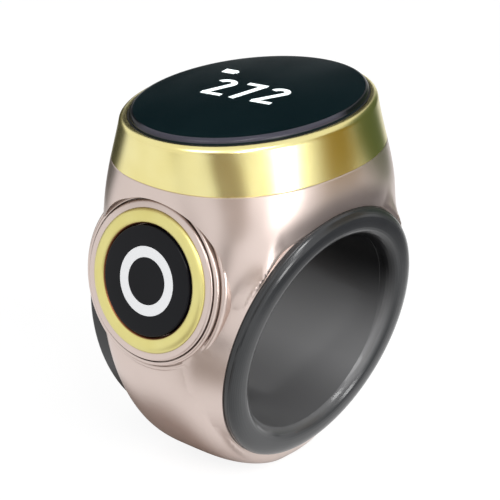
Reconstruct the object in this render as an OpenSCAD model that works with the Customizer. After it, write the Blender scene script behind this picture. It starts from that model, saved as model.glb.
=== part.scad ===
// Prayer counter ring: a finger ring with an oval display on top and a push
// button on its side. The bore's centre is the origin, the finger lies along Y,
// the display faces up and the button is on the left.

/* [Finger bore] */
// Radius of the hole for the finger
bore_r = 10; // [9.4:0.2:10.4]
// Wall of the liner's sleeve
sleeve_wall = 0.8; // [0.6:0.1:0.9]
// Outer radius of the liner's flanges
flange_r = 13; // [12.4:0.1:13.2]
// Thickness of a flange at its rim
flange_t = 1.5; // [1.3:0.1:1.8]
// Depth from the bore's centre to the front flange rim
front_depth = 9.2; // [8.8:0.1:9.6]
// Depth from the bore's centre to the back flange rim
back_depth = 7.6; // [7.4:0.1:8]
// How far the front face leans out towards the top, in degrees
front_lean = 10; // [8:0.5:11]
// How far the back face leans out towards the top, in degrees
back_lean = 13; // [12:0.5:14]
// How far a flange's rounded crown stands out of the metal body
flange_crown = 0.75; // [0.5:0.05:0.9]

/* [Metal body] */
// Outer radius of the ring on the palm side
ring_r = 14.8; // [14.4:0.1:15.4]
// Half width of the body from side to side
side_a = 14.2; // [14:0.1:14.4]
// Rounding of the body's edge on the palm side
palm_round = 2.4; // [1.6:0.2:2.8]
// Squareness of the body's sections level with the bore, where 2 is an oval
squareness = 5; // [4:0.5:6]
// Squareness of the sections at the palm side
palm_squareness = 3.4; // [3:0.2:4]

/* [Bezel and glass] */
// Height of the bezel's top edge
bezel_top_z = 20.75; // [20.5:0.05:21.2]
// Height of the gold bezel, from its seam with the body to its top edge
bezel_h = 4.35; // [4.1:0.05:4.6]
// Half length of the glass, from side to side
glass_a = 13.3; // [12.8:0.1:13.5]
// Half width of the glass, along the finger
glass_b = 9.25; // [8.95:0.1:9.65]
// Thickness of the glass
glass_t = 1.7; // [1.5:0.1:1.8]
// How far the glass stands above the bezel
glass_proud = 0.6; // [0.5:0.05:0.8]
// Chamfer along the glass edge
glass_chamfer = 0.45; // [0.3:0.05:0.5]
// Width of the bezel's rim outside the glass
bezel_rim = 0.85; // [0.7:0.05:1.1]
// Rounding of the bezel's top edge
bezel_round = 0.55; // [0.3:0.05:0.6]

/* [Side button] */
// Height of the button's centre
button_z = 6.95; // [6.6:0.1:7.2]
// How far the middle of the button's face lies inside the body's side
button_inset = 0.1; // [0:0.05:0.2]
// How far the button faces up, in degrees
button_tilt = 9.4; // [8:0.2:10]
// Radius of the black cap
cap_r = 5.18; // [4.8:0.02:5.2]
// Travel of the button
travel = 0.3; // [0.2:0.05:0.35]
// Outer radius of the gold trim ring
trim_r = 6.77; // [6.6:0.01:6.9]
// Outer radius of the raised lip
lip_r = 7.5; // [7.3:0.05:7.6]
// Inner and outer radius of the white mark
mark_in_r = 2.22; // [2:0.02:2.4]
mark_out_r = 3.24; // [3:0.02:3.6]
// Radius of the button's stem
stem_r = 1.3; // [1:0.05:1.5]

/* [Inside] */
// Thickness of the circuit board
board_t = 0.7; // [0.6:0.1:0.8]
// Height of the pouch cell
cell_h = 2.9; // [2.4:0.1:3]
// Length and width of the pouch cell
cell_l = 12.2; // [11:0.2:12.4]
cell_w = 9.8; // [9:0.2:10]
// Radius and height of the coin motor
motor_r = 2.7; // [2.4:0.1:2.8]
motor_h = 2; // [1.8:0.1:2.4]
// Length, width and thickness of the display module
panel_l = 13.6; // [12:0.2:14]
panel_w = 10.6; // [10:0.2:11]
panel_t = 1.1; // [0.9:0.1:1.2]

/* [Hidden] */

// Clearances
seat_gap = 0.03;
slide_gap = 0.04;
cap_gap = 0.08;
bay_gap = 0.15;
rest_gap = 0.02;

// Skin of the body and bezel: levels and points round each level
skin_steps = 96;
palm_levels = 14;
side_levels = 8;
bezel_levels = 4;
round_levels = 3;
first_angle = 6;

sleeve_r = bore_r + sleeve_wall;
seam_z = bezel_top_z - bezel_h;
button_x = side_a - button_inset;
crown_a = glass_a + bezel_rim;
crown_b = glass_b + bezel_rim;
glass_top_z = bezel_top_z + glass_proud;
glass_low_z = glass_top_z - glass_t;
gasket_t = 0.25;
gasket_side = 0.14;
ledge_z = glass_low_z - gasket_t;
ledge_w_x = 1.5;
ledge_w_y = 1.15;
bay_a = glass_a - ledge_w_x;
bay_b = glass_b - ledge_w_y;
bay_floor_z = sleeve_r + 0.6;

// Levels of the electronics, from the bay's floor up
strip_t = 0.15;
pad_t = 0.3;
pad_z = bay_floor_z + strip_t;
cell_z = pad_z + pad_t;
board_z = cell_z + cell_h + 0.3;
board_top_z = board_z + board_t;
panel_z = glass_low_z - panel_t;
lug_x = bay_a - 1.5;
lug_w = 4.4;
lug_h = 1.8;
screw_x = bay_a - 0.85;
screw_r = 0.4;
screw_head_r = 0.62;
screw_head_h = 0.4;
screw_z = board_top_z + 1;

// Button parts, measured inwards from the face
cap_t = 0.8;
mark_t = 0.2;
trim_in_r = cap_r + cap_gap;
trim_t = 1;
floor_out = cap_t + travel + 0.08;
floor_t = 0.75;
floor_in = floor_out + floor_t;
lip_drop = 0.35;
collar_base = 1.35;
spigot_r = 5.9;
clip_t = 0.2;
clip_r = 2.1;
groove_r = stem_r - 0.3;
stem_end = floor_in + rest_gap + clip_t + 0.2;
plunger_r = 0.7;
plunger_top = stem_end + rest_gap;
plunger_t = 0.55;
switch_top = plunger_top + travel + 0.05;
switch_w = 3;
switch_t = 0.75;
flex_t = 0.12;
plate_t = 0.2;
plate_w = 3.4;
plate_end = switch_top + switch_t + flex_t + plate_t;
seal_wire_r = 0.22;
seal_r = stem_r + seal_wire_r + slide_gap;
seal_depth = 0.5;
seal_seat_r = seal_r + seal_wire_r;
recess_r = lip_r + 0.25;
recess_depth = 1.6;
boss_steps = [[lip_r + 0.5, 0.6], [lip_r + 1.2, 1.05]];
step_round = 0.2;

// Charging contacts in the top of the bore
contact_y = 2.6;
contact_r = 0.9;

// The two faces of the ring, as depth at the bore's centre and lean
FRONT = [front_depth, front_lean];
BACK = [back_depth, back_lean];
function lean_y(z, face) = face[0] + tan(face[1]) * z;

// Half width of the skin seen from the front
function skin_a(z) = z < 0
    ? side_a * sqrt(1 - z * z / (ring_r * ring_r))
    : side_a - (side_a - crown_a) * z / bezel_top_z;

// Half depth of the skin seen from the side: a leaning face, then a curve up to the crown
bend_z = 12;
function curve_b(t, face) =
    (2 * t * t * t - 3 * t * t + 1) * lean_y(bend_z, face)
    + (t * t * t - 2 * t * t + t) * (bezel_top_z - bend_z) * tan(face[1])
    + (3 * t * t - 2 * t * t * t) * crown_b
    - (t * t * t - t * t) * (bezel_top_z - bend_z) * 0.25;
function palm_cut(k) = k <= 0 ? 0 : palm_round * 0.85 * (1 - sqrt(1 - k * k));
function skin_b(z, face) = z < bend_z
    ? lean_y(z, face) - palm_cut(1 - (z + ring_r) / palm_round)
    : curve_b((z - bend_z) / (bezel_top_z - bend_z), face);

// Exponent of the section: an oval at the crown, a rounded oblong lower down
square_z = 2;
function skin_n(z) = z < 0
    ? squareness + (squareness - palm_squareness) * z / ring_r
    : z < square_z ? squareness : 2 + (squareness - 2) * pow((bezel_top_z - z) / (bezel_top_z - square_z), 1.7);

function skin_point(t, a, b, n) =
    let (r = pow(pow(abs(cos(t)), n) + pow(abs(sin(t)), n), -1 / n))
    [a * cos(t) * r, b * sin(t) * r];

// One level is a height and an inset from the skin
function level_points(level) = [for (i = [0 : skin_steps - 1])
    let (t = 360 * i / skin_steps,
         b = skin_b(level[0], t > 180 ? FRONT : BACK),
         p = skin_point(t, skin_a(level[0]) - level[1], b - level[1], skin_n(level[0])))
    [p[0], p[1], level[0]]];

palm_heights = [for (i = [0 : palm_levels])
    [-ring_r * cos(first_angle + (90 - first_angle) * i / palm_levels), 0]];
side_heights = [for (i = [1 : side_levels]) [seam_z * i / side_levels, 0]];
bezel_heights = [for (i = [0 : bezel_levels])
    [seam_z + (bezel_top_z - bezel_round - seam_z) * i / bezel_levels, 0]];
round_heights = [for (i = [1 : round_levels])
    let (t = 90 * i / round_levels)
    [bezel_top_z - bezel_round * (1 - sin(t)), bezel_round * (1 - cos(t))]];

// A closed solid through a stack of rings with the same number of points
module loft(rings) {
    count = len(rings);
    steps = len(rings[0]);
    low_cap = [[for (i = [0 : steps - 1]) i]];
    top_cap = [[for (i = [steps - 1 : -1 : 0]) (count - 1) * steps + i]];
    walls = [for (j = [0 : count - 2], i = [0 : steps - 1])
        let (k = (i + 1) % steps, low = j * steps, high = low + steps)
        each [[low + i, high + i, high + k], [low + i, high + k, low + k]]];
    polyhedron([for (ring = rings) each ring], concat(low_cap, walls, top_cap), convexity = 4);
}

module skin(levels) {
    loft([for (level = levels) level_points(level)]);
}

// An upright oval column
oval_steps = 96;
function oval_points(a, b) = [for (i = [0 : oval_steps - 1])
    let (t = 360 * i / oval_steps) [a * cos(t), b * sin(t)]];
function oval_ring(a, b, z) = [for (p = oval_points(a, b)) [p[0], p[1], z]];
module oval(a, b, low, high) {
    translate([0, 0, low]) linear_extrude(high - low) polygon(oval_points(a, b));
}

// Puts a shape on the button's axis, with +Z out of the button's face
module at_button() {
    translate([-button_x, 0, button_z]) rotate([0, button_tilt - 90, 0]) children();
}

// Puts a shape on a flange's axis, with +Z out of the bore
module at_mouth(face) {
    translate([0, -face[0], 0]) rotate([90 + face[1], 0, 0]) children();
}
module at_front() {
    at_mouth(FRONT) children();
}
module at_back() {
    mirror([0, 1, 0]) at_mouth(BACK) children();
}

module finger_hole(r) {
    rotate([90, 0, 0]) cylinder(r = r, h = 60, center = true, $fn = 128);
}

// A ring with a box section
module washer(out_r, in_r, low, high) {
    translate([0, 0, low]) difference() {
        cylinder(r = out_r, h = high - low, $fn = 96);
        translate([0, 0, -1]) cylinder(r = in_r, h = high - low + 2, $fn = 96);
    }
}

// Room behind the button for the switch, opening up into the bay
pocket_w = 4.2;
pocket_low = 2.2;
pocket_top = (bay_floor_z - button_z) / cos(button_tilt) + 0.8;
pocket_end = plate_end + 0.05;
module switch_pocket() {
    at_button() translate([-pocket_low, -pocket_w / 2, -pocket_end])
        cube([pocket_low + pocket_top, pocket_w, pocket_end - floor_in + 0.4]);
}

// Land of metal that carries the body's corners up to the rim of the front flange
land_w = 0.15;
land_depth = 3;
land_drop = 0.4;
land_grow = 0.8;
module flange_land() {
    low_r = flange_r + land_w + land_grow;
    translate([0, 0, -land_depth - 1]) cylinder(r = low_r, h = 1.01, $fn = 128);
    translate([0, 0, -land_depth])
        cylinder(r1 = low_r, r2 = flange_r + land_w, h = land_depth - land_drop, $fn = 128);
}

// Two bosses on the bay's wall that carry the board and take its screws
module board_lugs() {
    for (side = [0, 180]) rotate(side) intersection() {
        oval(bay_a + 0.3, bay_b + 0.3, board_z - lug_h, board_z);
        translate([lug_x, -lug_w / 2, board_z - lug_h]) cube([4, lug_w, lug_h]);
    }
}

// Steps that climb from the recess up to the button's lip
module boss_rings() {
    for (step = boss_steps)
        at_button() translate([0, 0, -recess_depth - 1]) rotate_extrude($fn = 96) polygon([
            [0, 0], [step[0], 0], [step[0], recess_depth + 1 - step[1] - step_round],
            [step[0] - step_round, recess_depth + 1 - step[1]], [0, recess_depth + 1 - step[1]]]);
}

module ring_body() {
    color("#dccdc3") difference() {
        union() {
            difference() {
                union() {
                    difference() {
                        skin(concat(palm_heights, side_heights));
                        at_button() translate([0, 0, -recess_depth]) cylinder(r = recess_r, h = 12, $fn = 96);
                    }
                    boss_rings();
                    at_front() flange_land();
                }
                oval(bay_a, bay_b, bay_floor_z, seam_z + 1);
            }
            board_lugs();
        }
        finger_hole(sleeve_r + seat_gap);
        at_front() flange_seat();
        at_back() flange_seat();
        at_button() {
            translate([0, 0, -collar_base]) cylinder(r = lip_r + seat_gap, h = 12, $fn = 96);
            translate([0, 0, -floor_in - 0.2]) cylinder(r = spigot_r + seat_gap, h = 4, $fn = 96);
        }
        switch_pocket();
        for (side = [-1, 1]) translate([0, side * contact_y, 0])
            cylinder(r = contact_r + 0.2, h = 14, $fn = 32);
        for (side = [-1, 1]) translate([side * screw_x, 0, board_z - lug_h - 1])
            cylinder(r = screw_r + rest_gap, h = lug_h + 2, $fn = 24);
        translate([0, 0, seam_z - seal_h / 2]) seal_track(seal_h, seat_gap);
    }
}

module flange_seat() {
    translate([0, 0, -flange_t]) cylinder(r = flange_r + seat_gap, h = 12, $fn = 128);
}

// Oval seal in a groove between body and bezel
seal_h = 0.6;
seal_w = 0.5;
seal_inset = 0.6;
module seal_track(h, extra) {
    a = bay_a + seal_inset;
    b = bay_b + seal_inset;
    difference() {
        oval(a + seal_w + extra, b + seal_w + extra, 0, h);
        oval(a - extra, b - extra, -1, h + 1);
    }
}

module bezel_seal() {
    color("#222222") translate([0, 0, seam_z - seal_h / 2]) seal_track(seal_h, 0);
}

module bezel() {
    color("#d8c474") difference() {
        skin(concat(bezel_heights, round_heights));
        oval(bay_a, bay_b, seam_z - 1, bezel_top_z + 1);
        oval(glass_a + gasket_side, glass_b + gasket_side, ledge_z, bezel_top_z + 1);
        translate([0, 0, seam_z - seal_h / 2]) seal_track(seal_h, seat_gap);
    }
}

module display_glass() {
    color("#16191c") loft([
        oval_ring(glass_a, glass_b, glass_low_z),
        oval_ring(glass_a, glass_b, glass_top_z - glass_chamfer),
        oval_ring(glass_a - glass_chamfer, glass_b - glass_chamfer, glass_top_z)]);
}

// Black adhesive seal: flat under the glass, with a thin upstand beside it
module glass_gasket() {
    color("#0c0c0e") difference() {
        oval(glass_a + gasket_side, glass_b + gasket_side, ledge_z, bezel_top_z);
        oval(glass_a, glass_b, glass_low_z, bezel_top_z + 1);
        oval(bay_a, bay_b, ledge_z - 1, glass_low_z + 1);
    }
}

// Outline of a flange on its own axis: mouth, crown, rounded shoulder and rim
crown_r = flange_r - 1.5;
function arc(cx, cz, rx, rz, from, to, n) =
    [for (i = [0 : n]) let (t = from + (to - from) * i / n) [cx + rx * cos(t), cz + rz * sin(t)]];
module flange_shape() {
    rotate_extrude($fn = 128) polygon(concat(
        [[bore_r - 1, -flange_t], [flange_r, -flange_t], [flange_r, 0.05]],
        arc(crown_r, 0.1, flange_r - 0.06 - crown_r, flange_crown - 0.1, 0, 90, 8),
        [[bore_r - 1, flange_crown]]));
}

// Trumpet that opens the mouth of the bore
mouth_depth = 1.7;
mouth_w = 1.25;
module mouth_shape() {
    rotate_extrude($fn = 128) polygon(concat(
        [[0, 3], [0, flange_crown - mouth_depth - 0.5], [bore_r - 0.4, flange_crown - mouth_depth - 0.5]],
        arc(bore_r + mouth_w, flange_crown - mouth_depth, mouth_w, mouth_depth, 180, 90, 8),
        [[bore_r + mouth_w, 3]]));
}

// Front flange and sleeve in one piece. The sleeve ends inside the rear flange
sleeve_end = 0.9;
module finger_liner() {
    color("#4a4c50") difference() {
        union() {
            at_front() flange_shape();
            difference() {
                finger_hole(sleeve_r);
                at_front() translate([0, 0, -flange_t / 2]) cylinder(r = 40, h = 40);
                at_back() translate([0, 0, -sleeve_end]) cylinder(r = 40, h = 40);
            }
        }
        finger_hole(bore_r);
        at_front() mouth_shape();
        at_back() mouth_shape();
        contact_holes(contact_r);
    }
}

module rear_flange() {
    color("#4a4c50") difference() {
        at_back() flange_shape();
        difference() {
            finger_hole(sleeve_r + seat_gap);
            at_back() translate([0, 0, -sleeve_end + rest_gap]) cylinder(r = 40, h = 40);
        }
        finger_hole(bore_r);
        at_back() mouth_shape();
    }
}

module contact_holes(r) {
    for (side = [-1, 1]) translate([0, side * contact_y, 5]) cylinder(r = r, h = 8, $fn = 32);
}

// Black cap with its stem, a groove for the mark and one for the clip
module button_cap() {
    color("#1d1e22") at_button() difference() {
        rotate_extrude($fn = 96) polygon([
            [0, -stem_end], [stem_r - 0.15, -stem_end], [stem_r, -stem_end + 0.15],
            [stem_r, -floor_in - rest_gap - clip_t], [groove_r, -floor_in - rest_gap - clip_t],
            [groove_r, -floor_in - rest_gap], [stem_r, -floor_in - rest_gap],
            [stem_r, -cap_t], [cap_r, -cap_t], [cap_r, -0.12], [cap_r - 0.12, 0], [0, 0]]);
        washer(mark_out_r, mark_in_r, -mark_t, 1);
    }
}

module button_mark() {
    color("#f2f4f6") at_button() washer(mark_out_r, mark_in_r, -mark_t, 0);
}

// Open retaining clip in the stem's groove
module button_clip() {
    color("#b9bcc0") at_button() difference() {
        washer(clip_r, groove_r, -floor_in - rest_gap - clip_t, -floor_in - rest_gap);
        translate([0, -groove_r * 0.7, -floor_in - 2]) cube([clip_r + 1, groove_r * 1.4, 4]);
    }
}

module button_trim() {
    color("#e0cf83") at_button() rotate_extrude($fn = 96) polygon(concat(
        [[trim_in_r, -trim_t], [trim_r, -trim_t], [trim_r, -0.2]],
        arc(trim_r - 0.35, -0.2, 0.35, 0.28, 10, 90, 4),
        [[trim_in_r + 0.25, 0.02], [trim_in_r, -0.1]]));
}

// Collar with the raised lip, the seat of the trim, and the floor that guides the stem
module button_collar() {
    color("#dccdc3") at_button() rotate_extrude($fn = 96) polygon(concat(
        [[stem_r + slide_gap, -floor_in], [spigot_r, -floor_in], [spigot_r, -collar_base],
         [lip_r, -collar_base], [lip_r, -lip_drop - 0.25]],
        arc(lip_r - 0.25, -lip_drop - 0.25, 0.25, 0.25, 15, 90, 4),
        [[trim_r, -lip_drop], [trim_r, -trim_t], [trim_in_r, -trim_t], [trim_in_r, -floor_out],
         [seal_seat_r, -floor_out], [seal_seat_r, -floor_out - seal_depth],
         [stem_r + slide_gap, -floor_out - seal_depth]]));
}

module button_seal() {
    color("#26262a") at_button() translate([0, 0, -floor_out - seal_depth + seal_wire_r])
        rotate_extrude($fn = 64) translate([seal_r, 0]) circle(r = seal_wire_r, $fn = 24);
}

module side_switch() {
    color("#303236") at_button() difference() {
        translate([-switch_w / 2, -switch_w / 2, -switch_top - switch_t])
            cube([switch_w, switch_w, switch_t]);
        translate([0, 0, -plunger_top - plunger_t - travel - 0.05])
            cylinder(r = plunger_r + slide_gap, h = 4, $fn = 48);
    }
}

module switch_plunger() {
    color("#c9a25a") at_button() translate([0, 0, -plunger_top - plunger_t])
        cylinder(r = plunger_r, h = plunger_t, $fn = 48);
}

// Flexible board under the switch, with a tail that runs up through the bay to the main board
tail_w = 1.8;
flex_low = switch_top + switch_t + flex_t;
tail_top = (board_z - button_z + flex_low * sin(button_tilt)) / cos(button_tilt);
module switch_flex() {
    color("#b5651d") intersection() {
        at_button() translate([0, 0, -flex_low]) union() {
            translate([-plate_w / 2, -plate_w / 2, 0]) cube([plate_w, plate_w, flex_t]);
            translate([0, -tail_w / 2, 0]) cube([tail_top + 1, tail_w, flex_t]);
        }
        translate([-20, -5, 0]) cube([20, 10, board_z]);
    }
}

module switch_plate() {
    color("#8f9296") at_button() translate([-plate_w / 2, -plate_w / 2, -plate_end])
        cube([plate_w, plate_w, plate_t]);
}

module display_panel() {
    color("#0e1116") translate([-panel_l / 2, -panel_w / 2, panel_z])
        cube([panel_l, panel_w, panel_t]);
}

// Ribbon from the display, bent round and down to its socket
ribbon_w = 4;
socket_h = 0.9;
module display_flex() {
    color("#c07a2c") union() {
        translate([panel_l / 2 - 1.5, -ribbon_w / 2, panel_z - flex_t]) cube([2, ribbon_w, flex_t]);
        translate([panel_l / 2 + 0.5, ribbon_w / 2, panel_z - 0.6]) rotate([90, 0, 0])
            rotate_extrude(angle = 90, $fn = 32) translate([0.6 - flex_t, 0]) square([flex_t, ribbon_w]);
        translate([panel_l / 2 + 1.1 - flex_t, -ribbon_w / 2, board_top_z + socket_h])
            cube([flex_t, ribbon_w, panel_z - 0.6 - board_top_z - socket_h]);
    }
}

// Moulded frame that holds the panel against the glass and clamps the board
window_l = 14.8;
window_w = 9;
module carrier_rim(h) {
    oval(bay_a - bay_gap, bay_b - bay_gap, board_top_z, board_top_z + h);
}
module display_carrier() {
    color("#3a3f45") difference() {
        carrier_rim(ledge_z - board_top_z);
        translate([-window_l / 2, -window_w / 2, board_top_z - 1])
            cube([window_l, window_w, 20]);
        translate([-panel_l / 2 - 0.1, -panel_w / 2 - 0.1, panel_z]) cube([panel_l + 0.2, panel_w + 0.2, 9]);
        translate([panel_l / 2 - 0.6, -ribbon_w / 2 - 0.3, board_top_z - 1])
            cube([2.2, ribbon_w + 0.6, 20]);
        for (side = [-1, 1]) translate([side * screw_x, 0, 0]) {
            cylinder(r = screw_r + 0.05, h = 30, $fn = 24);
            translate([0, 0, screw_z]) cylinder(r = screw_head_r + 0.1, h = 20, $fn = 32);
        }
    }
}

module carrier_screws() {
    color("#c8cacd") for (side = [-1, 1]) translate([side * screw_x, 0, 0]) difference() {
        union() {
            translate([0, 0, board_z - lug_h + 0.2])
                cylinder(r = screw_r, h = screw_z - board_z + lug_h - 0.2, $fn = 24);
            translate([0, 0, screw_z]) cylinder(r = screw_head_r, h = screw_head_h, $fn = 32);
        }
        translate([-0.1, -screw_head_r, screw_z + screw_head_h / 2])
            cube([0.2, 2 * screw_head_r, 1]);
    }
}

module main_board() {
    color("#1f5a3c") difference() {
        oval(bay_a - bay_gap, bay_b - bay_gap, board_z, board_top_z);
        for (side = [-1, 1]) translate([side * screw_x, 0, 0])
            cylinder(r = screw_r + 0.05, h = 30, $fn = 24);
    }
}

chip_w = 4.8;
chip_t = 0.8;
chip_x = -4.4;
module controller_chip() {
    color("#1a1a1c") translate([chip_x, -chip_w / 2, board_top_z]) cube([chip_w, chip_w, chip_t]);
}

// Small components beside the chip: capacitors in two rows, a crystal and an aerial
cap_size = [0.8, 0.5, 0.45];
cap_pitch = 1.2;
cap_start_x = -4.2;
cap_row_y = 3.4;
crystal_size = [1.2, 2, 0.55];
crystal_x = 1;
crystal_y = -1.8;
aerial_size = [1, 3.2, 0.8];
aerial_x = -6.6;
aerial_y = -1.5;
module board_parts() {
    color("#b7a27a") union() {
        for (i = [0 : 4], row = [-1, 1])
            translate([cap_start_x + i * cap_pitch, row * cap_row_y - cap_size[1] / 2, board_top_z])
                cube(cap_size);
        translate([crystal_x, crystal_y, board_top_z]) cube(crystal_size);
        translate([aerial_x, aerial_y, board_top_z]) cube(aerial_size);
    }
}

socket_l = 1.3;
socket_w = ribbon_w + 0.4;
module flex_socket() {
    color("#e6e0d0") translate([panel_l / 2 + 0.2, -socket_w / 2, board_top_z]) cube([socket_l, socket_w, socket_h]);
}

module vibration_motor() {
    color("#c3c6ca") translate([cell_x - motor_r - 0.6, 0, bay_floor_z])
        cylinder(r = motor_r, h = motor_h, $fn = 64);
}

cell_lug_gap = 1.2;
cell_x = lug_x - cell_lug_gap - cell_l;
module battery_cell() {
    color("#9aa3ad") translate([cell_x, -cell_w / 2, cell_z]) cube([cell_l, cell_w, cell_h]);
}

module battery_pad() {
    color("#2b2b2e") translate([cell_x + 0.5, -cell_w / 2 + 0.5, pad_z])
        cube([cell_l - 1, cell_w - 1, pad_t]);
}

// Two strips from the cell's end up to the board
tab_t = 0.12;
tab_w = 1.2;
tab_y = 2.4;
module battery_tabs() {
    color("#cfd2d6") for (side = [-1, 1]) translate([cell_x - tab_t, side * tab_y - tab_w / 2, cell_z + 1])
        cube([tab_t, tab_w, board_z - cell_z - 1]);
}

// Contact pins that end level with the wall of the bore
module charge_contacts() {
    color("#d9b64c") intersection() {
        for (side = [-1, 1]) translate([0, side * contact_y, 0])
            cylinder(r = contact_r - seat_gap, h = bay_floor_z, $fn = 32);
        difference() {
            finger_hole(bore_floor_r);
            finger_hole(bore_r);
            translate([-20, -20, -40]) cube([40, 40, 40]);
        }
    }
}
bore_floor_r = 14;

module charge_flex() {
    x0 = cell_x - 0.35;
    color("#b5651d") union() {
        translate([x0, -contact_y - 1, bay_floor_z]) cube([1 - x0, 2 * contact_y + 2, strip_t]);
        translate([x0, -0.8, bay_floor_z]) cube([flex_t, 1.6, board_z - bay_floor_z]);
    }
}

ring_body();
bezel();
bezel_seal();
display_glass();
glass_gasket();
finger_liner();
rear_flange();
button_cap();
button_mark();
button_clip();
button_trim();
button_collar();
button_seal();
side_switch();
switch_plunger();
switch_flex();
switch_plate();
display_panel();
display_flex();
display_carrier();
carrier_screws();
main_board();
controller_chip();
board_parts();
flex_socket();
vibration_motor();
battery_cell();
battery_pad();
battery_tabs();
charge_contacts();
charge_flex();
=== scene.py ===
# %% [markdown]
# # A counter ring, dressed for the camera
# This lesson dresses a finger ring that counts prayers: a metal body with a gold bezel,
# an oval glass display on top, a round button on its side and a dark liner in the bore.
# The solid model is loaded first and never moved. Where a solid is already right it only
# gets a finish, and where it is too coarse for a close look a finer mesh stands for it.

# %% Load the fixed frame
from math import sin, cos, tan, pi, radians, sqrt, hypot
import bpy
import bmesh
from mathutils import Matrix, Vector


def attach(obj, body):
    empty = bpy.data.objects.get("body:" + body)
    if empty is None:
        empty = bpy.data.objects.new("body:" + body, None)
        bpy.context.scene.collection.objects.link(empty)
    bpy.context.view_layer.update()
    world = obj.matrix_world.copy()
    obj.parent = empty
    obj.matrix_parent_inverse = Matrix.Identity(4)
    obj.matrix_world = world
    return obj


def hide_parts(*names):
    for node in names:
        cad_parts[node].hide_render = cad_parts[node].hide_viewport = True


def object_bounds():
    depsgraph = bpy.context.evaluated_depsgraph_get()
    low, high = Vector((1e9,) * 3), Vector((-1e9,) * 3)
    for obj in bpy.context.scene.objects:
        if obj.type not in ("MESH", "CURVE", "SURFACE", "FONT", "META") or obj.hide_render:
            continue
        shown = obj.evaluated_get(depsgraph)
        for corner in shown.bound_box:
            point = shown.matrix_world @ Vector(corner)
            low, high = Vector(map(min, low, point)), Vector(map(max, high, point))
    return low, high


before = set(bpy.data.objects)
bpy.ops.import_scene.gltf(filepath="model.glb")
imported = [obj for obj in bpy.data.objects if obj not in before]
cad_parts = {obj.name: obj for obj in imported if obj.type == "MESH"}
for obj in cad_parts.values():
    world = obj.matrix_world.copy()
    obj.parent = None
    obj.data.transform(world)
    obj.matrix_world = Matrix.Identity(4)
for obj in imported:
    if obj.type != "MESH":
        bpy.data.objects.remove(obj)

solid_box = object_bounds()
MM = 0.001

# %% [markdown]
# ## The camera
# A camera is a place, three directions and a lens. A long lens from a quarter of a metre
# keeps the ring's two ovals nearly parallel, as they are in the picture. The three
# directions are written as the columns of a matrix: right, up and backwards. The angles
# and the lens were found by laying the ring's outline and its ovals over the picture.

# %% Camera at the picture's angle
turn, rise, lean = radians(-49.859), radians(23.449), radians(1.5)
away_mm, aside_mm, above_mm = 240.99, 0.4276, 5.168
focal_px, picture_px, sensor_mm = 2505.8, 500, 36
cam_back = Vector((sin(turn) * cos(rise), -cos(turn) * cos(rise), sin(rise)))
level_right = Vector((cos(turn), sin(turn), 0))
level_up = cam_back.cross(level_right)
cam_right = cos(lean) * level_right + sin(lean) * level_up
cam_up = cos(lean) * level_up - sin(lean) * level_right
cam_place = (away_mm * cam_back + aside_mm * cam_right + above_mm * cam_up) * MM

lens = bpy.data.cameras.new("picture_lens")
lens.sensor_width = sensor_mm
lens.lens = focal_px / picture_px * sensor_mm
lens.clip_start = 0.01
camera = bpy.data.objects.new("picture_camera", lens)
bpy.context.scene.collection.objects.link(camera)
columns = Matrix((cam_right, cam_up, cam_back)).transposed()
camera.matrix_world = Matrix.Translation(cam_place) @ columns.to_4x4()
bpy.context.scene.camera = camera
print("camera", [round(v, 4) for v in cam_place], "lens", round(lens.lens, 1))

# %% [markdown]
# ## Shader maths as plain Python
# A node tree is a sum written with boxes. This small class wraps one output socket, so
# that a mask can be written as an expression such as 1 - inside * 0.5. Only the sums
# that the finishes need are here.

# %% A socket that understands arithmetic
class Signal:
    def __init__(self, finish, socket):
        self.finish = finish
        self.socket = socket

    def math(self, operation, first, second):
        return self.finish.node("ShaderNodeMath", {"operation": operation}, {0: first, 1: second})

    def __add__(self, other):
        return self.math("ADD", self, other)

    def __radd__(self, other):
        return self.math("ADD", other, self)

    def __rsub__(self, other):
        return self.math("SUBTRACT", other, self)

    def __mul__(self, other):
        return self.math("MULTIPLY", self, other)

    def __rmul__(self, other):
        return self.math("MULTIPLY", other, self)


print("a signal knows", [name for name in vars(Signal) if name.endswith(("add__", "sub__", "mul__"))])

# %% [markdown]
# ## One finish is one material
# A finish starts from the Principled shader, and what is even all over is set straight on
# its sockets. One method makes any other node from its type, settings and inputs. The
# others are short names for what these finishes need often: noise, a tint, a fade with
# distance, and painted shade in grooves. All of them read the piece's own coordinates,
# so a pattern stays where it is when the piece moves.

# %% A finish and what it can do
MIX_LOW, MIX_HIGH, MIX_RESULT = 6, 7, 2


def linear(*srgb):
    """Linear colour from 0 to 255 screen values."""
    return tuple(((v / 255 + 0.055) / 1.055) ** 2.4 if v > 10 else v / 255 / 12.92 for v in srgb)


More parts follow.
